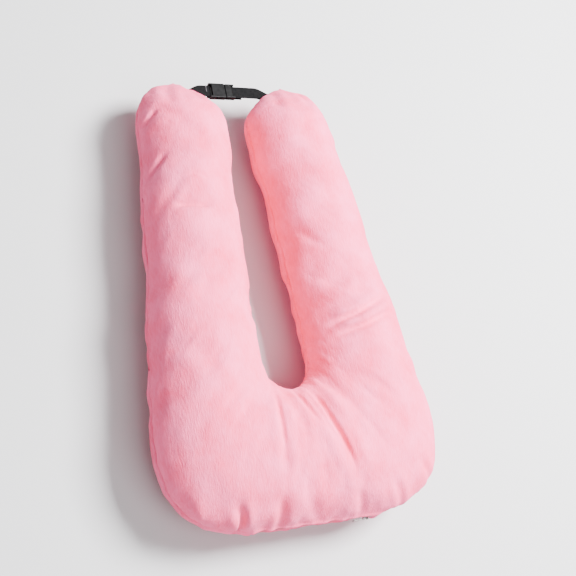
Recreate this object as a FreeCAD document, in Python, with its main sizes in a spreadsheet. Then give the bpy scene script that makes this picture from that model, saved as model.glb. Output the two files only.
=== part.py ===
"""U-shaped travel pillow with a zipped plush cover and a buckled tip strap.

The pillow lies on its back: +Z is up through the front face, +Y runs from the
base to the two arm tips and X runs across.  The origin is under the middle of
the whole object's box, on the surface that it rests on.  Lengths are in
millimetres.
"""
import FreeCAD, Part
import math
import os
import re

import Sketcher

DIMENSIONS = [
    # pillow outline, measured from the middle of the base edge
    ("base_edge_y", -352.0),
    ("mid_height", 62.0),
    ("half_thickness", 62.0),
    ("edge_round", 46.0),
    ("base_corner_x", 98.0),
    ("base_corner_radius", 115.0),
    ("tip_centre_x", 92.0),
    ("tip_outer_radius", 64.0),
    ("tip_inner_radius", 75.0),
    ("tip_inner_y", 633.0),
    ("gap_radius", 39.0),
    ("gap_centre_y", 233.0),
    # layers of the cushion
    ("cover_wall", 2.5),
    ("bag_inset", 4.5),
    ("bag_wall", 1.0),
    ("filling_inset", 5.9),
    # zip in the base end of the back panel
    ("zip_half_length", 92.0),
    ("zip_height", 56.0),
    ("zip_slot_width", 11.0),
    ("tape_width", 10.0),
    ("tape_thickness", 0.8),
    ("tape_depth", 2.6),
    ("coil_width", 2.2),
    ("coil_depth", 1.7),
    ("coil_gap", 1.2),
    ("stop_length", 2.0),
    ("stop_thickness", 1.2),
    ("slider_length", 10.0),
    ("slider_width", 8.0),
    ("slider_start_x", 83.0),
    ("slider_plate", 1.3),
    ("slider_back_plate", 0.6),
    ("slider_clearance", 0.3),
    ("slider_flange", 0.9),
    ("post_length", 3.0),
    ("post_width", 0.8),
    # pull tab on the slider's crown
    ("crown_pin_radius", 0.6),
    ("crown_pin_depth", 1.9),
    ("crown_span", 4.8),
    ("crown_post", 0.8),
    ("eye_bore", 0.75),
    ("eye_radius", 1.5),
    ("eye_width", 2.6),
    ("tab_start", 2.2),
    ("tab_length", 20.0),
    ("tab_width", 6.0),
    ("tab_thickness", 1.4),
    # strap between the arm tips
    ("strap_y", 694.0),
    ("strap_width", 20.0),
    ("strap_thickness", 1.5),
    ("strap_reach_x", 85.0),
    ("loop_clearance", 0.3),
    ("left_tail", 4.0),
    ("right_tail", 15.0),
    ("bartack_x", -39.0),
    ("bartack_length", 3.0),
    ("bartack_width", 12.0),
    ("bartack_thickness", 0.5),
    # side-release buckle
    ("buckle_thickness", 9.0),
    ("buckle_round", 1.2),
    ("bar_radius", 1.5),
    ("bar_slot", 20.6),
    ("bar_slot_depth", 5.1),
    ("socket_left_x", -33.5),
    ("socket_length", 27.0),
    ("socket_width", 26.0),
    ("socket_wall", 1.5),
    ("window_left_x", -22.8),
    ("window_length", 8.4),
    ("plug_left_x", -6.0),
    ("plug_length", 16.0),
    ("plug_width", 25.0),
    ("tongue_length", 15.0),
    ("tongue_width", 5.0),
    ("tongue_thickness", 2.5),
    ("prong_root_gap", 0.3),
    ("prong_length", 16.0),
    ("prong_offset", 6.6),
    ("prong_thickness", 2.2),
    ("prong_height", 5.0),
    ("prong_head_length", 7.5),
    ("prong_head_width", 5.8),
    ("prong_lead_in", 3.0),
    # blank care label hanging from the side seam
    ("label_y", 420.0),
    ("label_width", 30.0),
    ("label_drop", 38.0),
    ("label_thickness", 0.6),
    ("label_gap", 0.2),
]
ALIASES = {alias for alias, value in DIMENSIONS}

doc = FreeCAD.newDocument("u_shaped_pillow")
sheet = doc.addObject("Spreadsheet::Sheet", "dims")
for row, (alias, value) in enumerate(DIMENSIONS, start=1):
    sheet.set(f"A{row}", alias)
    sheet.set(f"B{row}", str(value))
    sheet.setAlias(f"B{row}", alias)
doc.recompute()

sub_parts = []


# ---------------------------------------------------------------- helpers

def size(alias):
    """Return a driving dimension as a number."""
    return float(sheet.get(alias))


def cells(expression):
    """Point each dimension's name in an expression at its cell."""
    def cell(match):
        word = match.group()
        return f"dims.{word}" if word in ALIASES else word
    return re.sub(r"[a-z_]+", cell, expression)


def bind(target, **expressions):
    """Bind properties of an object to expressions of the dimensions."""
    for name, expression in expressions.items():
        target.setExpression(name, cells(expression))


def place(target, x="0", y="0", z="0"):
    """Place an object by expressions; y is measured from the base edge."""
    target.setExpression("Placement.Base.x", cells(x))
    target.setExpression("Placement.Base.y", cells(f"base_edge_y + ({y})"))
    target.setExpression("Placement.Base.z", cells(z))


def sub_part(target, label):
    """Name an object as one separate piece of the pillow."""
    target.Label = label
    sub_parts.append(target)
    return target


def block(name, length, width, height, x, y, z):
    """Make a box from expressions, placed by its lowest corner."""
    box = doc.addObject("Part::Box", name)
    bind(box, Length=length, Width=width, Height=height)
    place(box, x, y, z)
    return box


def rod(name, radius, length, x, y, z, along="Z"):
    """Make a cylinder that starts at a point and runs along +Z or +Y."""
    cylinder = doc.addObject("Part::Cylinder", name)
    bind(cylinder, Radius=radius, Height=length)
    if along == "Y":
        cylinder.Placement.Rotation = FreeCAD.Rotation(FreeCAD.Vector(1, 0, 0), -90)
    place(cylinder, x, y, z)
    return cylinder


def fused(name, pieces):
    """Join primitives that are one moulding."""
    union = doc.addObject("Part::MultiFuse", name)
    union.Shapes = pieces
    return union


def without(name, base, tool):
    """Cut one object out of another."""
    cut = doc.addObject("Part::Cut", name)
    cut.Base = base
    cut.Tool = tool
    return cut


def rounded(name, base, radius):
    """Round every edge of a block."""
    doc.recompute()
    fillet = doc.addObject("Part::Fillet", name)
    fillet.Base = base
    edge_count = len(base.Shape.Edges)
    fillet.Edges = [(edge, radius, radius) for edge in range(1, edge_count + 1)]
    return fillet


def origin_plane(body, role):
    """Find one of a body's own origin planes."""
    return [item for item in body.Origin.OriginFeatures if item.Role == role][0]


def new_sketch(body, name, role):
    """Start a sketch on one of a body's own origin planes."""
    sketch = body.newObject("Sketcher::SketchObject", name)
    sketch.AttachmentSupport = [(origin_plane(body, role), "")]
    sketch.MapMode = "FlatFace"
    return sketch


def constrain(sketch, *arguments, to=None):
    """Add a constraint, and bind it to an expression when one is given."""
    index = sketch.addConstraint(Sketcher.Constraint(*arguments))
    if to is not None:
        sketch.setExpression(f"Constraints[{index}]", cells(to))
    return index


def touch(sketch, first, first_end, second, second_end):
    """Join two outline pieces end to end and tangent."""
    sketch.addConstraint(Sketcher.Constraint("Tangent", first, first_end, second, second_end))


def arc(centre_x, centre_y, radius, start, end):
    """Make an arc from its centre, radius and its two angles in radians."""
    circle = Part.Circle(FreeCAD.Vector(centre_x, centre_y, 0), FreeCAD.Vector(0, 0, 1), radius)
    return Part.ArcOfCircle(circle, start, end)


def side_lean():
    """Angle by which the outer wall leans inward, from its two tangent arcs."""
    outer_centre_y = size("tip_inner_y") + size("tip_inner_radius") - size("tip_outer_radius")
    rise = outer_centre_y - size("base_corner_radius")
    run = size("base_corner_x") - size("tip_centre_x")
    radius_drop = size("base_corner_radius") - size("tip_outer_radius")
    return math.asin(radius_drop / math.hypot(run, rise)) + math.atan2(run, rise)


def gap_lean():
    """Angle by which the gap's wall leans, from its two tangent arcs."""
    rise = size("tip_inner_y") - size("gap_centre_y")
    run = size("tip_centre_x")
    radii = size("tip_inner_radius") + size("gap_radius")
    return math.asin(radii / math.hypot(run, rise)) - math.atan2(run, rise)


# ---------------------------------------------------------------- cushion

def outline(body, inset):
    """Sketch the U outline, moved inward by an inset, on the seam plane.

    Each arc keeps its centre and only its radius changes with the inset, and
    every straight stretch is tangent to the arcs at its two ends.
    """
    sketch = new_sketch(body, body.Name + "_outline", "XY_Plane")
    lean = side_lean()
    wall = gap_lean()
    quarter = math.pi / 2
    base_x = size("base_corner_x")
    base_r = size("base_corner_radius")
    tip_x = size("tip_centre_x")
    outer_r = size("tip_outer_radius")
    inner_r = size("tip_inner_radius")
    inner_y = size("tip_inner_y")
    outer_y = inner_y + inner_r - outer_r
    gap_r = size("gap_radius")
    gap_y = size("gap_centre_y")

    right = {
        "base": arc(base_x, base_r, base_r, -quarter, lean),
        "outer": arc(tip_x, outer_y, outer_r, lean, quarter),
        "inner": arc(tip_x, inner_y, inner_r, quarter, math.pi + wall),
    }
    left = {
        "base": arc(-base_x, base_r, base_r, math.pi - lean, 3 * quarter),
        "outer": arc(-tip_x, outer_y, outer_r, quarter, math.pi - lean),
        "inner": arc(-tip_x, inner_y, inner_r, -wall, quarter),
    }
    gap_arc = arc(0, gap_y, gap_r, math.pi - wall, 2 * math.pi + wall)

    def line(start, end):
        return Part.LineSegment(start, end)

    pieces = [
        line(left["base"].EndPoint, right["base"].StartPoint),
        right["base"],
        line(right["base"].EndPoint, right["outer"].StartPoint),
        right["outer"],
        right["inner"],
        line(right["inner"].EndPoint, gap_arc.EndPoint),
        gap_arc,
        line(gap_arc.StartPoint, left["inner"].StartPoint),
        left["inner"],
        left["outer"],
        line(left["outer"].EndPoint, left["base"].StartPoint),
        left["base"],
    ]
    base, base_right, side_right, outer_right, inner_right, wall_right = range(6)
    gap, wall_left, inner_left, outer_left, side_left, base_left = range(6, 12)
    for piece in pieces:
        sketch.addGeometry(piece)

    for first in (base, base_right, side_right, outer_right, inner_right):
        touch(sketch, first, 2, first + 1, 1)
    touch(sketch, wall_right, 2, gap, 2)
    touch(sketch, gap, 1, wall_left, 1)
    for first in (wall_left, inner_left, outer_left, side_left):
        touch(sketch, first, 2, first + 1, 1)
    touch(sketch, base_left, 2, base, 1)

    centre, root, y_axis = 3, -1, -2
    constrain(sketch, "DistanceX", root, 1, base_right, centre, base_x, to="base_corner_x")
    constrain(sketch, "DistanceY", root, 1, base_right, centre, base_r, to="base_corner_radius")
    constrain(sketch, "DistanceX", root, 1, inner_right, centre, tip_x, to="tip_centre_x")
    constrain(sketch, "DistanceY", root, 1, inner_right, centre, inner_y, to="tip_inner_y")
    constrain(sketch, "DistanceY", root, 1, gap, centre, gap_y, to="gap_centre_y")
    constrain(sketch, "PointOnObject", gap, centre, y_axis)
    constrain(sketch, "Radius", base_right, base_r, to=f"base_corner_radius - {inset}")
    constrain(sketch, "Radius", outer_right, outer_r, to=f"tip_outer_radius - {inset}")
    constrain(sketch, "Radius", inner_right, inner_r, to=f"tip_inner_radius - {inset}")
    constrain(sketch, "Radius", gap, gap_r, to=f"gap_radius + {inset}")
    for mine, other in ((base_right, base_left), (inner_right, inner_left)):
        constrain(sketch, "Symmetric", mine, centre, other, centre, y_axis)
        constrain(sketch, "Equal", mine, other)
    constrain(sketch, "Equal", outer_right, outer_left)
    for inner, outer in ((inner_right, outer_right), (inner_left, outer_left)):
        constrain(sketch, "Vertical", inner, centre, outer, centre)
    return sketch


def face_at(shape, height):
    """Name the flat face of a shape that lies at a height."""
    for index, face in enumerate(shape.Faces, start=1):
        box = face.BoundBox
        if abs(box.ZMin - height) < 1e-4 and abs(box.ZMax - height) < 1e-4:
            return f"Face{index}"
    raise ValueError("no flat face at that height")


def half_cushion(name, inset, front):
    """Pad one half of the cushion from the seam plane and round its rim."""
    body = doc.addObject("PartDesign::Body", name)
    place(body, z="mid_height")
    pad = body.newObject("PartDesign::Pad", name + "_pad")
    pad.Profile = outline(body, inset)
    pad.Reversed = not front
    bind(pad, Length=f"half_thickness - {inset}")
    doc.recompute()
    reach = size("half_thickness") - inset_value(inset)
    rim = body.newObject("PartDesign::Fillet", name + "_rim")
    rim.Base = (pad, [face_at(pad.Shape, reach if front else -reach)])
    bind(rim, Radius=f"edge_round - {inset}")
    doc.recompute()
    return body, rim


def inset_value(inset):
    """Return an inset as a number, which is 0 or a named dimension."""
    return size(inset) if inset in ALIASES else float(inset)


def shell(name, inset, wall, front):
    """Hollow one half of the cushion out from the seam plane."""
    body, rim = half_cushion(name, inset, front)
    hollow = body.newObject("PartDesign::Thickness", name + "_hollow")
    hollow.Base = (rim, [face_at(rim.Shape, 0)])
    hollow.Reversed = True
    bind(hollow, Value=wall)
    doc.recompute()
    body.Tip = hollow
    return body


def strap_root_slot(name, half_thickness_cell):
    """Make the slots through the tip seams that hold the strap's sewn ends."""
    return block(
        name,
        length="2 * strap_reach_x", width="strap_width", height=half_thickness_cell,
        x="-strap_reach_x", y="strap_y - strap_width / 2", z="mid_height - strap_thickness / 2",
    )


def covers():
    """Make the plush front and back panels, sewn together at the mid seam."""
    front = shell("front_panel", "0", "cover_wall", front=True)
    back = shell("back_panel", "0", "cover_wall", front=False)
    sub_part(without("front_slotted", front, strap_root_slot("slot_front", "strap_thickness")),
             "cover_front")
    zip_slot = block(
        "zip_slot",
        length="2 * zip_half_length", width="4 * cover_wall", height="zip_slot_width",
        x="-zip_half_length", y="-2 * cover_wall", z="zip_height - zip_slot_width / 2",
    )
    openings = fused("back_openings", [zip_slot, strap_root_slot("slot_back", "strap_thickness")])
    sub_part(without("back_slotted", back, openings), "cover_back")


def inner_bag():
    """Make the thin inner bag's two panels."""
    sub_part(shell("bag_front_panel", "bag_inset", "bag_wall", front=True), "inner_bag_front")
    sub_part(shell("bag_back_panel", "bag_inset", "bag_wall", front=False), "inner_bag_back")


def filling():
    """Make the loose fibre filling as one mass that fills the bag."""
    halves = []
    for name, front in (("filling_front", True), ("filling_back", False)):
        body, rim = half_cushion(name, "filling_inset", front)
        body.Tip = rim
        halves.append(body)
    sub_part(fused("filling", halves), "fibre_filling")


# ---------------------------------------------------------------- zip

def zip_tapes():
    """Make the two tapes and the two coils, parted by the slider post's way."""
    sides = (
        ("upper", "zip_height + coil_gap / 2", "zip_height + coil_gap / 2"),
        ("lower", "zip_height - coil_gap / 2 - tape_width",
         "zip_height - coil_gap / 2 - coil_width"),
    )
    for side, tape_z, coil_z in sides:
        tape = block(
            f"tape_{side}",
            length="2 * zip_half_length", width="tape_thickness", height="tape_width",
            x="-zip_half_length", y="tape_depth", z=tape_z,
        )
        sub_part(tape, f"zip_tape_{side}")
        coil = block(
            f"coil_{side}",
            length="2 * zip_half_length", width="coil_depth", height="coil_width",
            x="-zip_half_length", y="tape_depth - coil_depth", z=coil_z,
        )
        sub_part(coil, f"zip_coil_{side}")


def zip_stops():
    """Make the stop clamped over the coils at each end."""
    for side, start in (("left", "-zip_half_length"), ("right", "zip_half_length - stop_length")):
        stop = block(
            f"stop_{side}",
            length="stop_length", width="stop_thickness", height="coil_gap + 2 * coil_width",
            x=start, y="tape_depth - coil_depth - stop_thickness",
            z="zip_height - coil_gap / 2 - coil_width",
        )
        sub_part(stop, f"zip_stop_{side}")


COIL_FRONT = "tape_depth - coil_depth"
PLATE_TOP = f"{COIL_FRONT} - slider_clearance - slider_plate"
PIN_Y = f"{PLATE_TOP} - crown_pin_depth"


def zip_slider():
    """Make the slider: plates, flanges, post between the coils, and crown."""
    left = "slider_start_x - slider_length / 2"
    bottom = "zip_height - slider_width / 2"
    front_plate = block(
        "slider_front",
        length="slider_length", width="slider_plate", height="slider_width",
        x=left, y=PLATE_TOP, z=bottom,
    )
    back_plate = block(
        "slider_back",
        length="slider_length", width="slider_back_plate", height="slider_width",
        x=left, y="tape_depth + tape_thickness + slider_clearance", z=bottom,
    )
    post = block(
        "slider_post",
        length="post_length",
        width="coil_depth + tape_thickness + 2 * slider_clearance", height="post_width",
        x="slider_start_x - post_length / 2", y=f"{COIL_FRONT} - slider_clearance",
        z="zip_height - post_width / 2",
    )
    pieces = [front_plate, back_plate, post]
    flange_starts = (("low", bottom), ("high", "zip_height + slider_width / 2 - slider_flange"))
    for end, start in flange_starts:
        pieces.append(block(
            f"slider_flange_{end}",
            length="slider_length", width="coil_depth", height="slider_flange",
            x=left, y=f"{COIL_FRONT} - slider_clearance", z=start,
        ))
    crown_starts = (
        ("low", "zip_height - crown_span / 2"),
        ("high", "zip_height + crown_span / 2 - crown_post"),
    )
    for end, start in crown_starts:
        pieces.append(block(
            f"crown_post_{end}",
            length="2 * crown_pin_radius", width="crown_pin_depth + crown_pin_radius",
            height="crown_post",
            x="slider_start_x - crown_pin_radius", y=f"{PIN_Y} - crown_pin_radius", z=start,
        ))
    pieces.append(rod(
        "crown_pin", radius="crown_pin_radius", length="crown_span",
        x="slider_start_x", y=PIN_Y, z="zip_height - crown_span / 2",
    ))
    sub_part(fused("slider", pieces), "zip_slider")


def zip_pull():
    """Make the pull tab with the eye that turns on the slider's crown pin."""
    half_tab = "tab_thickness / 2"
    tab = block(
        "pull_tab",
        length="tab_length", width="tab_thickness", height="tab_width",
        x="slider_start_x - tab_start - tab_length", y=f"{PIN_Y} - {half_tab}",
        z="zip_height - tab_width / 2",
    )
    neck = block(
        "pull_neck",
        length="tab_start", width="tab_thickness", height="eye_width",
        x="slider_start_x - tab_start - eye_bore", y=f"{PIN_Y} - {half_tab}",
        z="zip_height - eye_width / 2",
    )
    eye = rod(
        "pull_eye", radius="eye_radius", length="eye_width",
        x="slider_start_x", y=PIN_Y, z="zip_height - eye_width / 2",
    )
    bore = rod(
        "pull_bore", radius="eye_bore", length="2 * eye_width",
        x="slider_start_x", y=PIN_Y, z="zip_height - eye_width",
    )
    sub_part(without("pull", fused("pull_blank", [tab, neck, eye]), bore), "zip_pull")


# ---------------------------------------------------------------- strap

BAR_Z = "mid_height - strap_thickness / 2 - loop_clearance - bar_radius"
LOOP_INNER = "bar_radius + loop_clearance"
LOOP_OUTER = f"{LOOP_INNER} + strap_thickness"
SOCKET_BAR_X = "socket_left_x + bar_radius"
PLUG_BAR_X = "plug_left_x + plug_length - bar_radius"


def webbing(name, bar_x, tail, leftward):
    """Make one strap: a run into the tip seam and a loop round a buckle bar.

    The run is trimmed to the inner face of the cover, where it is sewn in.
    """
    low_y = "strap_y - strap_width / 2"
    tail_z = f"mid_height - strap_thickness / 2 - ({LOOP_INNER}) * 2 - strap_thickness"
    run = block(
        name + "_run",
        length=f"strap_reach_x + ({bar_x})" if leftward else f"strap_reach_x - ({bar_x})",
        width="strap_width", height="strap_thickness",
        x="-strap_reach_x" if leftward else bar_x, y=low_y,
        z="mid_height - strap_thickness / 2",
    )
    tail_run = block(
        name + "_tail",
        length=tail, width="strap_width", height="strap_thickness",
        x=f"{bar_x} - {tail}" if leftward else bar_x, y=low_y, z=tail_z,
    )
    barrel = rod(
        name + "_barrel", radius=LOOP_OUTER, length="strap_width",
        x=bar_x, y=low_y, z=BAR_Z, along="Y",
    )
    keep = block(
        name + "_half",
        length=LOOP_OUTER, width="strap_width", height=f"2 * ({LOOP_OUTER})",
        x=bar_x if leftward else f"{bar_x} - ({LOOP_OUTER})", y=low_y,
        z=f"{BAR_Z} - ({LOOP_OUTER})",
    )
    half_barrel = doc.addObject("Part::Common", name + "_bend")
    half_barrel.Base = barrel
    half_barrel.Tool = keep
    bore = rod(
        name + "_bore", radius=LOOP_INNER, length="2 * strap_width",
        x=bar_x, y="strap_y - strap_width", z=BAR_Z, along="Y",
    )
    side = "-" if leftward else ""
    cushion_core = rod(
        name + "_core", radius="tip_inner_radius - cover_wall", length="half_thickness",
        x=f"{side}tip_centre_x", y="tip_inner_y", z="mid_height / 2",
    )
    blank = fused(name + "_blank", [run, tail_run, half_barrel])
    return without(name, blank, fused(name + "_waste", [bore, cushion_core]))


def straps():
    """Make the fixed left webbing, the adjustable right webbing and a bartack."""
    left = webbing("webbing_left", SOCKET_BAR_X, "left_tail", leftward=True)
    right = webbing("webbing_right", PLUG_BAR_X, "right_tail", leftward=False)
    sub_part(left, "strap_left")
    sub_part(right, "strap_right")
    bartack = block(
        "bartack",
        length="bartack_length", width="bartack_width", height="bartack_thickness",
        x="bartack_x", y="strap_y - strap_width / 2 + (strap_width - bartack_width)",
        z="mid_height + strap_thickness / 2",
    )
    sub_part(bartack, "strap_bartack")


# ---------------------------------------------------------------- buckle

def buckle_block(name, length, width, x, height="buckle_thickness"):
    """Make a block on the strap's centre line."""
    return block(
        name, length=length, width=width, height=height,
        x=x, y=f"strap_y - ({width}) / 2", z=f"mid_height - ({height}) / 2",
    )


def buckle_socket():
    """Make the socket: a hollow housing with side windows and a strap bar."""
    outer = rounded(
        "socket_outer",
        buckle_block("socket_block", "socket_length", "socket_width", "socket_left_x"),
        size("buckle_round"),
    )
    housing_left = "socket_left_x + bar_slot_depth"
    cavity_length = "socket_length - bar_slot_depth - socket_wall + 1"
    waste = [
        buckle_block("socket_bar_slot", "bar_slot_depth + 1", "bar_slot", "socket_left_x - 1",
                     height="2 * buckle_thickness"),
        buckle_block("socket_cavity", cavity_length, "socket_width - 2 * socket_wall",
                     f"{housing_left} + socket_wall",
                     height="buckle_thickness - 2 * socket_wall"),
        buckle_block("socket_windows", "window_length", "socket_width + 2", "window_left_x",
                     height="buckle_thickness - 2 * socket_wall"),
    ]
    bar = rod(
        "socket_bar", radius="bar_radius", length="bar_slot + 2",
        x=SOCKET_BAR_X, y="strap_y - bar_slot / 2 - 1", z=BAR_Z, along="Y",
    )
    shell_part = without("socket_shell", outer, fused("socket_waste", waste))
    sub_part(fused("socket", [shell_part, bar]), "buckle_socket")


def buckle_plug():
    """Make the plug: a shouldered body with a strap bar and a centre tongue."""
    outer = rounded(
        "plug_outer",
        buckle_block("plug_block", "plug_length", "plug_width", "plug_left_x"),
        size("buckle_round"),
    )
    slot = buckle_block(
        "plug_bar_slot", "bar_slot_depth + 1", "bar_slot",
        "plug_left_x + plug_length - bar_slot_depth", height="2 * buckle_thickness",
    )
    bar = rod(
        "plug_bar", radius="bar_radius", length="bar_slot + 2",
        x=PLUG_BAR_X, y="strap_y - bar_slot / 2 - 1", z=BAR_Z, along="Y",
    )
    tongue = buckle_block(
        "plug_tongue", "tongue_length + 1", "tongue_width", "plug_left_x - tongue_length",
        height="tongue_thickness",
    )
    body = without("plug_body", outer, slot)
    sub_part(fused("plug", [body, bar, tongue]), "buckle_plug")


def buckle_prongs():
    """Make the two springy prongs, each an arm with a catch on its outer side."""
    tip_x = "plug_left_x - prong_root_gap - prong_length"
    low_z = "mid_height - prong_height / 2"
    for side, arm_y, head_y in (
        ("upper", "strap_y + prong_offset", "strap_y + prong_offset"),
        ("lower", "strap_y - prong_offset - prong_thickness",
         "strap_y - prong_offset - prong_head_width"),
    ):
        arm = block(
            f"prong_arm_{side}",
            length="prong_length", width="prong_thickness", height="prong_height",
            x=tip_x, y=arm_y, z=low_z,
        )
        head = block(
            f"prong_head_{side}",
            length="prong_head_length", width="prong_head_width", height="prong_height",
            x=tip_x, y=head_y, z=low_z,
        )
        doc.recompute()
        lead_in = doc.addObject("Part::Chamfer", f"prong_lead_in_{side}")
        lead_in.Base = head
        lead_in.Edges = [(outer_tip_edge(head.Shape, side), size("prong_lead_in"),
                          size("prong_lead_in"))]
        sub_part(fused(f"prong_{side}", [arm, lead_in]), f"buckle_prong_{side}")


def outer_tip_edge(shape, side):
    """Find the upright edge at a prong head's outer, leading corner."""
    box = shape.BoundBox
    outer_y = box.YMax if side == "upper" else box.YMin
    for index, edge in enumerate(shape.Edges, start=1):
        middle = edge.BoundBox.Center
        if abs(middle.x - box.XMin) < 1e-6 and abs(middle.y - outer_y) < 1e-6:
            return index
    raise ValueError("the prong head has no leading corner")


# ---------------------------------------------------------------- label

def care_label():
    """Make the blank label that hangs from the seam along the right side wall."""
    lean = side_lean()
    wall_reach = size("base_corner_radius") + size("base_corner_radius") * math.sin(lean)
    wall_reach += size("base_corner_x") * math.cos(lean) + size("label_gap")
    start_y = size("label_y")
    start_x = (wall_reach - start_y * math.sin(lean)) / math.cos(lean)
    label = doc.addObject("Part::Box", "label")
    bind(label, Length="label_thickness", Width="label_width", Height="label_drop")
    label.Placement.Rotation = FreeCAD.Rotation(FreeCAD.Vector(0, 0, 1), math.degrees(lean))
    place(label, f"{start_x:.4f}", "label_y", "mid_height - label_drop")
    sub_part(label, "care_label")


# ---------------------------------------------------------------- build

def check_document():
    """Stop if any object failed or any sub-part has no valid solid."""
    for item in doc.Objects:
        if "Invalid" in item.State or "Error" in item.State:
            raise RuntimeError(f"{item.Name} did not compute: {item.State}")
    for piece in sub_parts:
        shape = piece.Shape
        if shape.isNull() or not shape.isValid() or not shape.Solids:
            raise RuntimeError(f"{piece.Label} has no valid solid")


def export_parts():
    """Write each sub-part to a STEP file named after it."""
    os.makedirs("parts", exist_ok=True)
    for piece in sub_parts:
        piece.Shape.exportStep(f"parts/{piece.Label}.step")
        print(f"{piece.Label}: {len(piece.Shape.Solids)} solid, {piece.Shape.Volume:.1f} mm3")


covers()
inner_bag()
filling()
zip_tapes()
zip_stops()
zip_slider()
zip_pull()
straps()
buckle_socket()
buckle_plug()
buckle_prongs()
care_label()
doc.recompute()
check_document()
export_parts()
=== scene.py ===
"""Looks of the U-shaped plush pillow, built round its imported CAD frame.

All lengths in the tables are in millimetres in the pillow's own plan: x across
and y from the base edge to the arm tips.  The frame gives the base edge, the
seam's height and every CAD node's box.
"""

import math

import bmesh
import bpy
import numpy as np
from mathutils import Matrix, Vector, noise


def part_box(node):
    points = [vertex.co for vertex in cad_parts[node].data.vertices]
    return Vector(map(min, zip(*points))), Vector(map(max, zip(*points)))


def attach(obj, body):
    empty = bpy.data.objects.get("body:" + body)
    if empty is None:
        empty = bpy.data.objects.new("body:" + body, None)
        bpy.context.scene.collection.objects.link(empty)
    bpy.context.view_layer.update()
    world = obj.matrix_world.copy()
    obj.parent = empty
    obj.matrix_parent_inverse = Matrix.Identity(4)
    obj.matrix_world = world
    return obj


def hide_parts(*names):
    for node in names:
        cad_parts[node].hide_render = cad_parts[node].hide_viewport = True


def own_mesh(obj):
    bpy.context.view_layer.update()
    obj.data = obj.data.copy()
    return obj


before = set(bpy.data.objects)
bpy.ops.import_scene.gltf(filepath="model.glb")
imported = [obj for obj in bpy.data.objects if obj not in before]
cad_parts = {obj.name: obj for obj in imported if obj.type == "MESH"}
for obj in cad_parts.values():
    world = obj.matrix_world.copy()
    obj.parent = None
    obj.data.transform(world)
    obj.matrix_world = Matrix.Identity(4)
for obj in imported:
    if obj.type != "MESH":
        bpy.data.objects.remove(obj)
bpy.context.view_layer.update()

MM = 0.001
COVER_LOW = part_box("cover_front")[0]
BASE_Y = COVER_LOW[1]
SEAM_Z = COVER_LOW[2]


def at(x, y, z=0.0):
    """Turn plan millimetres into a point of the frame, with z above the floor."""
    return Vector((x * MM, BASE_Y + y * MM, z * MM))


# ---------------------------------------------------------------- camera

CAMERA_PLACE = (-645.0, -164.0, 1363.0)
CAMERA_RIGHT = (0.8994, -0.1956, 0.3909)
CAMERA_UP = (0.0339, 0.9228, 0.3837)
CAMERA_BACK = (-0.4358, -0.3318, 0.8366)
CAMERA_LENS = 64.4
SENSOR_WIDTH = 36.0


def make_camera():
    """Place the camera above the pillow's left side, looking along its arms."""
    data = bpy.data.cameras.new("camera")
    data.lens = CAMERA_LENS
    data.sensor_width = SENSOR_WIDTH
    data.clip_end = 50.0
    camera = bpy.data.objects.new("camera", data)
    bpy.context.collection.objects.link(camera)
    turn = Matrix((CAMERA_RIGHT, CAMERA_UP, CAMERA_BACK)).transposed().to_4x4()
    camera.matrix_world = Matrix.Translation(at(*CAMERA_PLACE)) @ turn
    bpy.context.scene.camera = camera


# ---------------------------------------------------------------- helpers

def new_object(name, vertices, faces):
    """Make a mesh object from vertex and face lists, in metres."""
    mesh = bpy.data.meshes.new(name)
    mesh.from_pydata([tuple(v) for v in vertices], [], faces)
    mesh.update()
    piece = bpy.data.objects.new(name, mesh)
    bpy.context.collection.objects.link(piece)
    return piece


def face_outward(piece):
    """Turn every face of a closed mesh to look outward."""
    shape = bmesh.new()
    shape.from_mesh(piece.data)
    bmesh.ops.recalc_face_normals(shape, faces=shape.faces)
    shape.to_mesh(piece.data)
    shape.free()


def apply_modifiers(piece):
    """Fix a piece's modifiers into its mesh."""
    graph = bpy.context.evaluated_depsgraph_get()
    mesh = bpy.data.meshes.new_from_object(piece.evaluated_get(graph))
    piece.modifiers.clear()
    piece.data = mesh


def smooth(piece):
    """Shade every face smooth."""
    piece.data.polygons.foreach_set("use_smooth", [True] * len(piece.data.polygons))


def smoothstep(value, low, high):
    """Rise smoothly from 0 at low to 1 at high."""
    share = np.clip((value - low) / (high - low), 0.0, 1.0)
    return share * share * (3.0 - 2.0 * share)


def catmull_rom(points, steps):
    """Pass a smooth curve through points, with equal steps between each two."""
    points = np.asarray(points, float)
    padded = np.vstack([2 * points[0] - points[1], points, 2 * points[-1] - points[-2]])
    share = np.linspace(0.0, 1.0, steps, endpoint=False)[:, None]
    spans = []
    for index in range(1, len(padded) - 2):
        before, start, end, after = padded[index - 1:index + 3]
        spans.append(0.5 * (
            2 * start + (end - before) * share
            + (2 * before - 5 * start + 4 * end - after) * share ** 2
            + (3 * start - before - 3 * end + after) * share ** 3
        ))
    return np.vstack(spans + [points[-1:]])


# How far apart the noise is sampled for different seeds and octaves.
SEED_STEP = 17.3
OCTAVE_STEP = 5.1


def noise_field(points, scale, seed, octaves=1):
    """Sample smooth noise from -1 to 1 at points in metres; scale is per metre."""
    values = np.zeros(len(points))
    for octave in range(octaves):
        size = scale * 2 ** octave
        shift = SEED_STEP * seed + OCTAVE_STEP * octave
        for index, point in enumerate(points):
            place = Vector((point[0] * size + shift, point[1] * size, point[2] * size - shift))
            values[index] += noise.noise(place) / 2 ** octave
    return values


# ---------------------------------------------------------------- cushion

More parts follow.
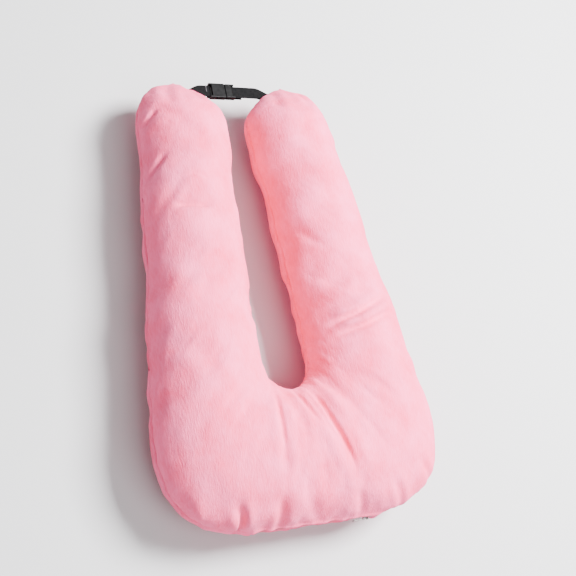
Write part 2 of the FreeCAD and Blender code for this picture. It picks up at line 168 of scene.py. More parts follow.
# Pairs of points on the gap's rim and on the outer rim that each cross-section
# joins, from the middle of the base to the right arm's peak, and the
# half-thickness there.
SECTIONS = [
    ((0, 194), (0, 0), 66),
    ((18, 198), (66, 0), 66),
    ((33, 212), (132, 5), 66),
    ((39, 234), (189, 35), 66),
    ((39, 262), (215, 98), 66),
    ((38, 318), (211, 184), 65),
    ((35, 384), (200, 272), 64),
    ((31, 454), (188, 364), 63),
    ((27, 524), (177, 460), 62),
    ((21, 590), (168, 555), 60),
    ((18, 632), (163, 626), 53),
    ((27, 657), (155, 664), 39),
    ((56, 684), (134, 689), 20),
    ((88, 702), (92, 702), 4),
]
STEPS_PER_SECTION = 16
# Heights on a unit ring at which the rows of vertices lie near a seam; the
# rest of each ring is spaced evenly.
SEAM_ROWS = [0.0, 0.01, 0.022, 0.045, 0.085, 0.13, 0.165, 0.185, 0.24]
EVEN_ROWS = 20


def ring_angles():
    """Return the ring's angles, with close rows beside both seams."""
    near = np.arcsin(SEAM_ROWS)
    even = np.linspace(near[-1], math.pi / 2, EVEN_ROWS)[1:]
    quarter = np.concatenate([near, even])
    half = np.concatenate([quarter, math.pi - quarter[-2::-1]])
    return np.concatenate([half[:-1], half[:-1] + math.pi])


ANGLES = ring_angles()
RING = len(ANGLES)


def section_curves():
    """Return the gap rim, the outer rim and the half-thickness at each station."""
    inner = np.array([pair[0] for pair in SECTIONS], float)
    outer = np.array([pair[1] for pair in SECTIONS], float)
    thick = np.array([[pair[2]] for pair in SECTIONS], float)
    curves = []
    for values, mirrored in ((inner, True), (outer, True), (thick, False)):
        other = values[:0:-1].copy()
        if mirrored:
            other[:, 0] *= -1
        curves.append(catmull_rom(np.vstack([other, values]), STEPS_PER_SECTION))
    return curves


def cushion_surface(angles, stride=1):
    """Return frame points of every cross-section ring, from left to right peak."""
    inner, outer, thick = (curve[::stride] for curve in section_curves())
    middle = (inner + outer) / 2
    reach = (outer - inner) / 2
    points = np.zeros((len(inner), len(angles), 3))
    points[:, :, :2] = middle[:, None, :] + reach[:, None, :] * np.cos(angles)[None, :, None]
    points[:, :, 2] = thick * np.sin(angles)[None, :]
    points *= MM
    points[:, :, 1] += BASE_Y
    points[:, :, 2] += SEAM_Z
    return points


def grid_faces(rows, columns, closed=True):
    """Join neighbouring rows of a grid with quads, wrapping round when closed."""
    faces = []
    for row in range(rows - 1):
        for column in range(columns if closed else columns - 1):
            after = (column + 1) % columns
            faces.append((
                row * columns + column, (row + 1) * columns + column,
                (row + 1) * columns + after, row * columns + after,
            ))
    return faces


def closed_tube_faces(rows, columns):
    """Join rings with quads and close both ends."""
    last = (rows - 1) * columns
    ends = [tuple(range(columns)), tuple(range(last, last + columns))[::-1]]
    return grid_faces(rows, columns) + ends


def grid_normals(points):
    """Return outward unit normals of a ring grid."""
    along = np.gradient(points, axis=0)
    wrapped = np.concatenate([points[:, -1:], points, points[:, :1]], axis=1)
    around = wrapped[:, 2:] - wrapped[:, :-2]
    normals = np.cross(along, around)
    length = np.linalg.norm(normals, axis=2, keepdims=True)
    return normals / np.maximum(length, 1e-12)


def blur(field, rounds):
    """Smooth a ring grid evenly, wrapping round each ring."""
    for _ in range(rounds):
        field = (np.roll(field, 1, axis=1) + 2 * field + np.roll(field, -1, axis=1)) / 4
        padded = np.concatenate([field[:1], field, field[-1:]])
        field = (padded[:-2] + 2 * padded[1:-1] + padded[2:]) / 4
    return field


# ---------------------------------------------------------------- cloth

CLOTH_STRIDE = 2
CLOTH_RING = 56
CLOTH_FRAMES = 22
SEAM_GATHER = 0.10
START_FATNESS = 0.86
BROAD_ROUNDS = 9
WRINKLE_CAP = 4 * MM
WRINKLE_GAIN = 0.55


def settle(piece):
    """Step the cloth through its frames and return where its vertices end."""
    scene = bpy.context.scene
    for step in range(1, CLOTH_FRAMES + 1):
        scene.frame_set(step)
    graph = bpy.context.evaluated_depsgraph_get()
    settled = piece.evaluated_get(graph).to_mesh()
    values = np.empty(len(settled.vertices) * 3)
    settled.vertices.foreach_get("co", values)
    piece.evaluated_get(graph).to_mesh_clear()
    scene.frame_set(1)
    return values.reshape(-1, 3)


def cloth_wrinkles():
    """Blow the sewn cover up as cloth with gathered seams, and return its wrinkles.

    The result is the displacement of a coarse ring grid, less its broad part,
    so that the pillow keeps its size.
    """
    angles = 2 * math.pi * np.arange(CLOTH_RING) / CLOTH_RING
    start = cushion_surface(angles, CLOTH_STRIDE)
    start[:, :, 2] = SEAM_Z + (start[:, :, 2] - SEAM_Z) * START_FATNESS
    rows = len(start)
    piece = new_object("cloth_cover", start.reshape(-1, 3), closed_tube_faces(rows, CLOTH_RING))
    seam = piece.vertex_groups.new(name="seam")
    outer = np.arange(rows) * CLOTH_RING
    both = np.concatenate([outer, outer + CLOTH_RING // 2])
    seam.add([int(index) for index in both], 1.0, "REPLACE")

    cloth = piece.modifiers.new("cloth", "CLOTH")
    fabric = cloth.settings
    fabric.quality = 6
    fabric.mass = 0.12
    fabric.tension_stiffness = 18
    fabric.compression_stiffness = 18
    fabric.shear_stiffness = 6
    fabric.bending_stiffness = 1.0
    fabric.use_pressure = True
    fabric.uniform_pressure_force = 4.5
    fabric.vertex_group_shrink = "seam"
    fabric.shrink_min = -0.02
    fabric.shrink_max = SEAM_GATHER
    fabric.effector_weights.gravity = 0
    cloth.collision_settings.use_collision = False
    cloth.point_cache.frame_end = CLOTH_FRAMES
    moved = settle(piece).reshape(start.shape) - start
    bpy.data.objects.remove(piece)

    wrinkles = moved - blur(moved, BROAD_ROUNDS)
    length = np.linalg.norm(wrinkles, axis=2, keepdims=True)
    return wrinkles * WRINKLE_GAIN * np.minimum(1.0, WRINKLE_CAP / np.maximum(length, 1e-9))


def onto_fine_grid(coarse, stations):
    """Spread a coarse ring grid's field over the fine rings."""
    rows = np.linspace(0, len(coarse) - 1, stations)
    low = np.minimum(rows.astype(int), len(coarse) - 2)
    share = (rows - low)[:, None, None]
    field = coarse[low] * (1 - share) + coarse[low + 1] * share
    turn = ANGLES / (2 * math.pi) * coarse.shape[1]
    left = turn.astype(int) % coarse.shape[1]
    right = (left + 1) % coarse.shape[1]
    part = (turn - np.floor(turn))[None, :, None]
    return blur(field[:, left] * (1 - part) + field[:, right] * part, 1)


# ---------------------------------------------------------------- sewing marks

# Soft folds in the plush: points on the plan, how deep and how wide each is.
FOLDS = [
    ([(-44, 178), (-50, 140), (-56, 92), (-58, 62)], 2.6, 6.0),
    ([(16, 182), (24, 140), (36, 96), (48, 58)], 5.0, 8.5),
    ([(-8, 186), (-3, 156), (10, 124)], 3.2, 7.0),
    ([(34, 196), (58, 160), (76, 130)], 2.4, 8.0),
    ([(-30, 196), (-22, 160), (-20, 120)], 2.0, 7.0),
    ([(58, 272), (98, 281), (140, 300), (172, 326)], 5.0, 5.5),
    ([(66, 254), (108, 262), (150, 276), (182, 300)], 4.4, 5.5),
    ([(62, 300), (98, 308), (134, 324)], 2.6, 8.0),
    ([(64, 330), (84, 340), (110, 352)], 2.6, 9.0),
    ([(120, 352), (150, 366), (172, 388)], 1.8, 8.0),
    ([(-148, 466), (-120, 464), (-90, 458)], 2.6, 6.0),
    ([(-170, 516), (-156, 536), (-140, 556)], 2.8, 6.0),
    ([(-160, 610), (-140, 634)], 2.4, 6.0),
    ([(-186, 352), (-160, 346), (-130, 350)], 2.0, 8.0),
    ([(-196, 262), (-168, 250), (-140, 252)], 1.8, 9.0),
    ([(-192, 40), (-178, 16), (-170, -2)], 4.6, 5.5),
    ([(-128, 34), (-119, 14), (-116, -2)], 5.0, 5.5),
    ([(-66, 30), (-62, 12), (-60, -2)], 4.0, 6.0),
    ([(-24, 26), (-14, 12), (-4, -2)], 1.8, 5.5),
    ([(52, 32), (60, 14), (64, -2)], 2.2, 5.0),
    ([(110, 38), (124, 18), (132, 2)], 2.4, 5.5),
    ([(160, 62), (178, 46), (190, 38)], 2.2, 5.5),
    ([(60, 640), (66, 664), (70, 690)], 1.8, 6.5),
    ([(116, 640), (118, 668), (112, 694)], 2.2, 7.0),
    ([(-66, 648), (-74, 676), (-78, 700)], 2.2, 6.5),
    ([(-120, 640), (-118, 668), (-108, 694)], 2.0, 7.0),
]
# Sharp creases, given the same way.
CREASES = [
    ([(-46, 176), (-51, 140), (-56, 96)], 2.0, 3.0),
    ([(14, 178), (24, 138), (36, 98), (46, 62)], 2.4, 3.2),
    ([(-10, 182), (-4, 154), (8, 126)], 1.8, 3.0),
    ([(66, 275), (106, 285), (160, 312)], 3.8, 3.8),
    ([(74, 258), (116, 266), (170, 290)], 3.4, 3.8),
    ([(80, 244), (120, 248), (160, 262)], 1.6, 3.0),
    ([(-142, 465), (-119, 463), (-96, 459)], 2.4, 2.8),
    ([(-168, 520), (-155, 537), (-142, 554)], 2.2, 2.8),
    ([(-158, 614), (-141, 633)], 2.0, 2.8),
    ([(-130, 508), (-108, 512), (-90, 508)], 1.4, 2.8),
    ([(-184, 30), (-175, 10), (-170, 0)], 3.0, 3.4),
    ([(-120, 24), (-118, 10), (-118, 0)], 2.8, 3.2),
]
# A fold's raised shoulders: their height as a share of its depth, and their
# distance and width in the fold's own widths.
SHOULDER_RISE = 0.5
SHOULDER_AWAY = 2.1
SHOULDER_WIDTH = 1.1
# Shares of a fold's length over which it sinks in and fades out.
FOLD_START = (-0.1, 0.25)
FOLD_END = (0.72, 1.08)
# Upward tilts of the cover, as the normal's z, over which folds and creases fade in.
FOLD_TILT = (-0.15, 0.35)
CREASE_TILT = (-0.1, 0.3)

# The groove along the seam, and how far out on its ring a point lies where the
# groove fades in.
SEAM_DEPTH = 2.6 * MM
SEAM_HALF_WIDTH = 2.4 * MM
SEAM_RIM = (0.8, 0.95)

# Gathers along the seam: waves per metre, the share of the fine ones, where each
# panel's gathers lie in the noise, how far and how sharply they fade, their height,
# and the distances from the base edge over which the base's extra height fades out.
BROAD_PUCKERS = 55
FINE_PUCKERS = 130
FINE_SHARE = 0.6
PUCKER_ROWS = ((1, 3.1), (-1, 9.7))
BROAD_PLANE = 0.0
FINE_PLANE = 4.0
PUCKER_REACH = 20 * MM
PUCKER_FADE = 1.5
PUCKER_HEIGHT = 1.1 * MM
BASE_PUCKER_HEIGHT = 1.7 * MM
BASE_PUCKER_REACH = (30 * MM, 120 * MM)

# Lumps and pile clumps: noise waves per metre and height.  The base's own lumps fade
# out between two distances from its edge, in plan millimetres.
ROUGH_WAVES = 34.0
ROUGH_HEIGHT = 0.9 * MM
CLUMP_WAVES = 120.0
CLUMP_HEIGHT = 0.55 * MM
BASE_WAVES = 30.0
BASE_HEIGHT = 2.2 * MM
BASE_LUMP_REACH = (25, 95)

# The zip in the base end, and the cover's lips beside it.
ZIP_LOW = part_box("zip_tape_lower")[0]
ZIP_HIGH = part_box("zip_tape_upper")[1]
ZIP_MIDDLE = (ZIP_LOW[2] + ZIP_HIGH[2]) / 2
BASE_END = 40 * MM
LIP_AWAY = 8 * MM
LIP_WIDTH = 6 * MM
LIP_HEIGHT = 5 * MM
LIP_FADE = 25 * MM
SLOT_SIDE = 0.5 * MM
SLOT_LAP = 0.2 * MM
SLOT_FLOOR = 2.6 * MM
FLOOR_CLEARANCE = 0.6 * MM


def plan_millimetres(points):
    """Return frame points as plan millimetres, from the middle of the base edge."""
    plan = points[:, :2] / MM
    plan[:, 1] -= BASE_Y / MM
    return plan


def pressed(plan, lines):
    """Return how deep a list of folds presses each plan point in, in metres."""
    sunk = np.zeros(len(plan))
    for line, depth, width in lines:
        sunk += depth * MM * fold_depth(plan, line, width)
    return sunk


def fold_depth(plan, line, width):
    """Return how far into one fold each plan point lies, with soft shoulders."""
    nearest = np.full(len(plan), 1e9)
    share = np.zeros(len(plan))
    line = np.array(line, float)
    spans = len(line) - 1
    for index in range(spans):
        start, end = line[index:index + 2]
        run = end - start
        part = np.clip(((plan - start) @ run) / (run @ run), 0, 1)
        gap = np.linalg.norm(plan - start - part[:, None] * run, axis=1)
        closer = gap < nearest
        nearest[closer] = gap[closer]
        share[closer] = (index + part[closer]) / spans
    taper = smoothstep(share, *FOLD_START) * (1 - smoothstep(share, *FOLD_END))
    groove = np.exp(-(nearest / width) ** 2)
    away = (nearest - SHOULDER_AWAY * width) / (SHOULDER_WIDTH * width)
    return taper * (groove - SHOULDER_RISE * np.exp(-away ** 2))


def seam_distance(points):
    """Return each vertex's height above or below the seam, in metres."""
    return np.abs(points[:, :, 2] - SEAM_Z)


def arc_lengths(points):
    """Return the length along the seam at each station, in metres."""
    steps = np.linalg.norm(np.diff(points[:, 0], axis=0), axis=1)
    return np.concatenate([[0.0], np.cumsum(steps)])


def puckers(points):
    """Return the gathers that run out from the seam, from about -1 to 1."""
    waves = np.zeros(points.shape[:2])
    for row, length in enumerate(arc_lengths(points)):
        for side, noise_row in PUCKER_ROWS:
            broad = noise.noise(Vector((length * BROAD_PUCKERS, noise_row, BROAD_PLANE)))
            fine = noise.noise(Vector((length * FINE_PUCKERS, noise_row, FINE_PLANE)))
            waves[row, np.sin(ANGLES) * side >= 0] = broad + FINE_SHARE * fine
    return waves * np.exp(-(seam_distance(points) / PUCKER_REACH) ** PUCKER_FADE)


def zip_lips(points):
    """Return how far the cover stands out along the zip's two edges."""
    across = np.abs(points[:, :, 2] - ZIP_MIDDLE)
    lips = np.exp(-((across - LIP_AWAY) / LIP_WIDTH) ** 2)
    ends = 1 - smoothstep(np.abs(points[:, :, 0]), ZIP_HIGH[0], ZIP_HIGH[0] + LIP_FADE)
    near = points[:, :, 1] < BASE_Y + BASE_END
    return LIP_HEIGHT * lips * ends * near


def sew(points):
    """Press the folds, the seam groove, the gathers and pile clumps into the cover."""
    normals = grid_normals(points)
    flat = points.reshape(-1, 3)
    plan = plan_millimetres(flat)
    sunk = pressed(plan, FOLDS) * smoothstep(normals[:, :, 2].ravel(), *FOLD_TILT)
    rough = noise_field(flat, ROUGH_WAVES, seed=1, octaves=2) * ROUGH_HEIGHT
    clump = noise_field(flat, CLUMP_WAVES, seed=2, octaves=2) * CLUMP_HEIGHT
    at_base = 1 - smoothstep(plan[:, 1], *BASE_LUMP_REACH)
    bulk = noise_field(flat, BASE_WAVES, seed=3) * BASE_HEIGHT * at_base
    push = (rough + clump + bulk - sunk).reshape(points.shape[:2])
    near_base = 1 - smoothstep(points[:, :, 1] - BASE_Y, *BASE_PUCKER_REACH)
    push += puckers(points) * (PUCKER_HEIGHT + BASE_PUCKER_HEIGHT * near_base)
    groove = np.exp(-(seam_distance(points) / SEAM_HALF_WIDTH) ** 2)
    push -= SEAM_DEPTH * groove * smoothstep(np.abs(np.cos(ANGLES)), *SEAM_RIM)[None, :]
    push += zip_lips(points)
    return points + normals * push[:, :, None]


def open_zip_slot(points):
    """Sink the base end's rim between the zip tapes' outer edges."""
    x, y, z = (points[:, :, axis] for axis in range(3))
    inside = (x > ZIP_LOW[0] - SLOT_SIDE) & (x < ZIP_HIGH[0] + SLOT_SIDE)
    inside &= (z > ZIP_LOW[2] + SLOT_LAP) & (z < ZIP_HIGH[2] - SLOT_LAP)
    inside &= (y < BASE_Y + BASE_END) & (np.cos(ANGLES)[None, :] > 0)
    y[inside] = ZIP_HIGH[1] + SLOT_FLOOR
    return points


def cover_points():
    """Return the finished cover's ring grid."""
    points = cushion_surface(ANGLES)
    points = points + onto_fine_grid(cloth_wrinkles(), len(points))
    points = sew(points)
    points[:, :, 2] = np.maximum(points[:, :, 2], FLOOR_CLEARANCE)
    return open_zip_slot(points)


def press_creases(piece):
    """Press the sharp creases into a refined panel, along its own normals."""
    vertices = piece.data.vertices
    points, normals = (np.empty(len(vertices) * 3) for _ in range(2))
    vertices.foreach_get("co", points)
    vertices.foreach_get("normal", normals)
    points = points.reshape(-1, 3)
    normals = normals.reshape(-1, 3)
    sunk = pressed(plan_millimetres(points), CREASES) * smoothstep(normals[:, 2], *CREASE_TILT)
    vertices.foreach_set("co", (points - normals * sunk[:, None]).ravel())
    piece.data.update()


# The cover's wall, the layers inside it, and how many end rings they leave out.
PANEL_WALL = 2.5 * MM
BAG_INSET = 5.5 * MM
BAG_WALL = 0.6 * MM
FILLING_INSET = 7.5 * MM
LAYER_BLUR = 3
SLOT_LAYER_LIFT = 1.5 * MM
TIP_MARGIN = 12


def half_columns(front):
    """Return the ring's columns of one panel, from seam to seam."""
    half = RING // 2
    if front:
        return list(range(half + 1))
    return list(range(half, RING)) + [0]


def panel(name, points, columns, material):
    """Make one sewn panel of the cover, with its wall's thickness."""
    grid = points[:, columns]
    faces = grid_faces(len(grid), len(columns), closed=False)
    piece = new_object(name, grid.reshape(-1, 3), faces)
    refine = piece.modifiers.new("refine", "SUBSURF")
    refine.levels = refine.render_levels = 1
    apply_modifiers(piece)
    press_creases(piece)
    wall = piece.modifiers.new("wall", "SOLIDIFY")
    wall.thickness = PANEL_WALL
    wall.offset = -1.0
    apply_modifiers(piece)
    smooth(piece)
    piece.data.materials.append(material)
    return piece


def inner_layer(name, points, inset, columns, material, wall=None):
    """Make a layer inside the cover: a thin panel, or a full mass with no wall."""
    soft = blur(points, LAYER_BLUR)
    soft = soft - grid_normals(soft) * inset
    behind_slot = ZIP_HIGH[1] + SLOT_FLOOR + inset - SLOT_LAYER_LIFT
    soft[:, :, 1] = np.maximum(soft[:, :, 1], behind_slot)
    grid = soft[TIP_MARGIN:-TIP_MARGIN, columns]
    if wall is None:
        faces = closed_tube_faces(len(grid), len(columns))
    else:
        faces = grid_faces(len(grid), len(columns), closed=False)
    piece = new_object(name, grid.reshape(-1, 3), faces)
    if wall is not None:
        thick = piece.modifiers.new("wall", "SOLIDIFY")
        thick.thickness = wall
        thick.offset = -1.0
        apply_modifiers(piece)
    smooth(piece)
    piece.data.materials.append(material)
    return piece


# ---------------------------------------------------------------- bands

# A band's mesh: rows for each rib, the fewest rows, and columns across.
ROWS_PER_RIB = 4
LEAST_ROWS = 8
BAND_COLUMNS = 29
RIB_WAVES_ACROSS = 4
# A band's edges, as shares of its thickness and width, and its woven edge lines.
EDGE_THICKNESS = 0.55
EDGE_WIDTH = 0.04
LINE_INSET = 0.09
LINE_HALF_WIDTH = 0.02
LINE_DEPTH = 0.1 * MM
# How far the straps bend towards the base edge, and how far out they do so.
STRAP_DIP = 13 * MM
DIP_FROM = 46 * MM
DIP_TO = 80 * MM

WEBBING_RIB = 0.12 * MM
WEBBING_PITCH = 1.6 * MM
TAPE_RIB = 0.07 * MM
TAPE_PITCH = 1.2 * MM


def band(name, path, low_y, high_y, thickness, material, rib, pitch, dip=0.0):
    """Weave a flat band of ribs along a path of (x, z) points.

    The band's ends sink towards the base edge by dip, far out from the middle.
    """
    path = np.array(path, float)
    steps = np.linalg.norm(np.diff(path, axis=0), axis=1)
    length = np.concatenate([[0.0], np.cumsum(steps)])
    count = max(int(length[-1] / (pitch / ROWS_PER_RIB)), LEAST_ROWS)
    spots = np.linspace(0.0, length[-1], count)
    x = np.interp(spots, length, path[:, 0])
    z = np.interp(spots, length, path[:, 1])
    run = np.stack([np.gradient(x), np.gradient(z)], axis=1)
    run /= np.linalg.norm(run, axis=1, keepdims=True)
    across = np.linspace(0.0, 1.0, BAND_COLUMNS)
    edge = np.minimum(across, 1 - across)
    fullness = EDGE_THICKNESS + (1 - EDGE_THICKNESS) * smoothstep(edge, 0.0, EDGE_WIDTH)
    depth = thickness / 2 * fullness
    depth = depth - LINE_DEPTH * (np.abs(edge - LINE_INSET) < LINE_HALF_WIDTH)
    ribs = rib * np.sin(2 * math.pi * spots / pitch)[:, None]
    ribs = ribs * np.cos(2 * math.pi * RIB_WAVES_ACROSS * across)[None, :]
    sink = dip * smoothstep(np.abs(x), DIP_FROM, DIP_TO)
    rings = []
    for sign, order in ((1, slice(None)), (-1, slice(None, None, -1))):
        lift = sign * (depth[order][None, :] - rib) + sign * ribs[:, order]
        ring = np.zeros((count, len(across), 3))
        ring[:, :, 0] = x[:, None] - run[:, 1:2] * lift
        ring[:, :, 1] = low_y + (high_y - low_y) * across[order][None, :] - sink[:, None]
        ring[:, :, 2] = z[:, None] + run[:, 0:1] * lift
        rings.append(ring)
    grid = np.concatenate(rings, axis=1)
    piece = new_object(name, grid.reshape(-1, 3), closed_tube_faces(count, grid.shape[1]))
    face_outward(piece)
    smooth(piece)
    piece.data.materials.append(material)
    return piece


LOOP_STEPS = 12


def loop_path(bar_x, bar_z, radius, run_x, tail):
    """Return a strap's middle line: its tail, the loop round a bar, and its run."""
    side = 1 if run_x > bar_x else -1
    points = [(bar_x + side * tail, bar_z - radius)]
    for step in range(LOOP_STEPS + 1):
        turn = math.pi * step / LOOP_STEPS
        points.append((bar_x - side * radius * math.sin(turn), bar_z - radius * math.cos(turn)))
    points.append((run_x, bar_z + radius))
    return points


# The share of a line's direction along y past which x helps to set its section.
STEEP_Y = 0.9


def swept_tube(name, line, radius, sides, material):
    """Sweep a round section along a line of points."""
    line = np.array(line, float)
    ahead = np.gradient(line, axis=0)
    ahead /= np.linalg.norm(ahead, axis=1, keepdims=True)
    helper = np.where(np.abs(ahead[:, 1:2]) < STEEP_Y, [[0.0, 1.0, 0.0]], [[1.0, 0.0, 0.0]])
    first = np.cross(ahead, helper)
    first /= np.linalg.norm(first, axis=1, keepdims=True)
    second = np.cross(ahead, first)
    turn = 2 * math.pi * np.arange(sides) / sides
    rings = line[:, None] + radius * (
        first[:, None] * np.cos(turn)[None, :, None]
        + second[:, None] * np.sin(turn)[None, :, None]
    )
    piece = new_object(name, rings.reshape(-1, 3), closed_tube_faces(len(line), sides))
    face_outward(piece)
    smooth(piece)
    piece.data.materials.append(material)
    return piece


COIL_PITCH = 1.5 * MM
COIL_WIRE = 0.36 * MM
POINTS_PER_TURN = 12
THREAD_SIDES = 6


def zip_coil(name, node, material):
    """Wind one row of zip teeth as a flattened nylon spiral."""
    low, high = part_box(node)
    turns = int((high[0] - low[0]) / COIL_PITCH)
    middle_y = (low[1] + high[1]) / 2
    middle_z = (low[2] + high[2]) / 2
    reach_y = (high[1] - low[1]) / 2 - COIL_WIRE
    reach_z = (high[2] - low[2]) / 2 - COIL_WIRE
    run = high[0] - low[0] - 2 * COIL_WIRE
    steps = turns * POINTS_PER_TURN
    line = []
    for step in range(steps + 1):
        turn = 2 * math.pi * step / POINTS_PER_TURN
        x = low[0] + COIL_WIRE + run * step / steps
        line.append((x, middle_y + reach_y * math.sin(turn), middle_z + reach_z * math.cos(turn)))
    return swept_tube(name, line, COIL_WIRE, THREAD_SIDES, material)


def zip_tape(name, node, material):
    """Weave one zip tape, standing on edge inside the slot."""
    low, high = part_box(node)
    middle = (low[1] + high[1]) / 2
    path = [(low[0], middle), (high[0], middle)]
    thickness = high[1] - low[1]
    piece = band(name, path, low[2], high[2], thickness, material, TAPE_RIB, TAPE_PITCH)
    for vertex in piece.data.vertices:
        x, y, z = vertex.co
        vertex.co = (x, z, y)
    face_outward(piece)
    return piece


STITCHES = 26
STEPS_PER_STITCH = 4
STITCH_MARGIN_X = 0.25 * MM
STITCH_MARGIN_Y = 0.3 * MM
THREAD_LIFT = 0.2 * MM
THREAD_RADIUS = 0.22 * MM


def bartack(material):
    """Stitch the zigzag that locks the left strap's loop."""
    low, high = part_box("strap_bartack")
    reach = (high[0] - low[0]) / 2 - STITCH_MARGIN_X
    run = high[1] - low[1] - 2 * STITCH_MARGIN_Y
    steps = STITCHES * STEPS_PER_STITCH
    line = []
    for step in range(steps + 1):
        swing = math.asin(math.sin(2 * math.pi * step / STEPS_PER_STITCH)) / (math.pi / 2)
        x = (low[0] + high[0]) / 2 + swing * reach
        y = low[1] + STITCH_MARGIN_Y + run * step / steps
        line.append((x, y, low[2] + THREAD_LIFT))
    return swept_tube("strap_stitching", line, THREAD_RADIUS, THREAD_SIDES, material)


LABEL_ROWS = 31
LABEL_COLUMNS = 25
LABEL_CLOTH = 0.5 * MM
# How far the label's top is sewn in, how far it then stands out and over what share
# of its height, how far its end curls in, and its ripples' height and radians each way.
LABEL_ROOT = 3 * MM
LABEL_STAND = 7 * MM
LABEL_STAND_SHARE = 0.25
LABEL_CURL = 13 * MM
LABEL_RIPPLE = 0.9 * MM
RIPPLE_ACROSS = 5
RIPPLE_DOWN = 3


def care_label(material):
    """Hang the satin label from the side seam, with its end curled in under the arm."""
    low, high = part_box("care_label")
    down, over = np.meshgrid(
        np.linspace(0.0, 1.0, LABEL_ROWS), np.linspace(0.0, 1.0, LABEL_COLUMNS), indexing="ij")
    stand = LABEL_STAND * smoothstep(down, 0.0, LABEL_STAND_SHARE) - LABEL_ROOT
    ripple = LABEL_RIPPLE * np.sin(RIPPLE_ACROSS * over + RIPPLE_DOWN * down) * down
    x = high[0] - (high[0] - low[0]) * over + stand - LABEL_CURL * down ** 2 + ripple
    y = low[1] + (high[1] - low[1]) * over
    z = high[2] - (high[2] - low[2]) * down
    grid = np.stack([x, y, z], axis=2)
    faces = grid_faces(LABEL_ROWS, LABEL_COLUMNS, closed=False)
    piece = new_object("satin_label", grid.reshape(-1, 3), faces)
    cloth = piece.modifiers.new("cloth_thickness", "SOLIDIFY")
    cloth.thickness = LABEL_CLOTH
    cloth.offset = 0.0
    apply_modifiers(piece)
    smooth(piece)
    piece.data.materials.append(material)
    return piece


# ---------------------------------------------------------------- materials

def shader(name, roughness, colour=(0.5, 0.5, 0.5)):
    """Make a material and return it with its nodes, links and main shader."""
    material = bpy.data.materials.new(name)
    material.use_nodes = True
    nodes = material.node_tree.nodes
    main = nodes["Principled BSDF"]
    main.inputs["Roughness"].default_value = roughness
    main.inputs["Base Color"].default_value = (*colour, 1)
    return material, nodes, material.node_tree.links, main


EVEN = (1.0, 1.0, 1.0)


def add_noise(nodes, links, stretch, scale, detail):
    """Add object-space noise, stretched along the axes."""
    place = nodes.new("ShaderNodeTexCoord")
    mapping = nodes.new("ShaderNodeMapping")
    mapping.inputs["Scale"].default_value = stretch
    texture = nodes.new("ShaderNodeTexNoise")
    texture.inputs["Scale"].default_value = scale
    texture.inputs["Detail"].default_value = detail
    links.new(place.outputs["Object"], mapping.inputs["Vector"])
    links.new(mapping.outputs["Vector"], texture.inputs["Vector"])
    return texture.outputs["Fac"]


# Values between which most of one noise texture lies.
NOISE_LOW = 0.3
NOISE_HIGH = 0.7


def add_ramp(nodes, links, source, dark, light, low=NOISE_LOW, high=NOISE_HIGH):
    """Colour a texture between two tones."""
    ramp = nodes.new("ShaderNodeValToRGB")
    ramp.color_ramp.elements[0].position = low
    ramp.color_ramp.elements[0].color = (*dark, 1)
    ramp.color_ramp.elements[1].position = high
    ramp.color_ramp.elements[1].color = (*light, 1)
    links.new(source, ramp.inputs["Fac"])
    return ramp.outputs["Color"]


def add_sum(nodes, links, first, second, share):
    """Add a share of one texture to another."""
    total = nodes.new("ShaderNodeMath")
    total.operation = "MULTIPLY_ADD"
    links.new(second, total.inputs[0])
    total.inputs[1].default_value = share
    links.new(first, total.inputs[2])
    return total.outputs["Value"]


def add_range(nodes, links, source, low, high):
    """Spread a texture's middle values over a range."""
    spread = nodes.new("ShaderNodeMapRange")
    spread.inputs["From Min"].default_value = NOISE_LOW
    spread.inputs["From Max"].default_value = NOISE_HIGH
    spread.inputs["To Min"].default_value = low
    spread.inputs["To Max"].default_value = high
    links.new(source, spread.inputs["Value"])
    return spread.outputs["Result"]


def add_bump(nodes, links, main, source, strength, distance):
    """Raise the surface by a texture."""
    bump = nodes.new("ShaderNodeBump")
    bump.inputs["Strength"].default_value = strength
    bump.inputs["Distance"].default_value = distance
    links.new(source, bump.inputs["Height"])
    links.new(bump.outputs["Normal"], main.inputs["Normal"])


PLUSH_DARK = (0.88, 0.075, 0.185)
PLUSH_LIGHT = (0.98, 0.155, 0.325)
PLUSH_SHEEN = (1.0, 0.35, 0.5, 1)


def plush_material():
    """Short pink pile: soft mottling, nap streaks down the pillow and a bright edge."""
    material, nodes, links, main = shader("plush", roughness=0.85)
    mottle = add_noise(nodes, links, stretch=(1.0, 0.8, 1.0), scale=26.0, detail=4.0)
    streaks = add_noise(nodes, links, stretch=(1.0, 0.16, 0.45), scale=620.0, detail=2.0)
    grain = add_noise(nodes, links, stretch=(1.0, 0.5, 0.8), scale=1500.0, detail=2.0)
    nap = add_sum(nodes, links, mottle, streaks, share=0.55)
    tone = add_ramp(nodes, links, nap, PLUSH_DARK, PLUSH_LIGHT, low=0.52, high=1.0)
    links.new(tone, main.inputs["Base Color"])
    pile = add_sum(nodes, links, streaks, grain, share=0.6)
    add_bump(nodes, links, main, pile, strength=0.5, distance=1.6 * MM)
    main.inputs["Sheen Weight"].default_value = 0.22
    main.inputs["Sheen Roughness"].default_value = 0.45
    main.inputs["Sheen Tint"].default_value = PLUSH_SHEEN
    main.inputs["Specular IOR Level"].default_value = 0.1
    return material


def fabric_material(name, dark, light, scale, roughness=0.9):
    """Plain woven cloth with crossed threads."""
    material, nodes, links, main = shader(name, roughness)
    main.inputs["Specular IOR Level"].default_value = 0.06
    warp = add_noise(nodes, links, stretch=(1.0, 0.12, 1.0), scale=scale, detail=1.0)
    weft = add_noise(nodes, links, stretch=(0.12, 1.0, 1.0), scale=scale, detail=1.0)
    weave = add_sum(nodes, links, warp, weft, share=1.0)
    tone = add_ramp(nodes, links, weave, dark, light, low=0.75, high=1.0)
    links.new(tone, main.inputs["Base Color"])
    add_bump(nodes, links, main, weave, strength=0.4, distance=0.3 * MM)
    return material


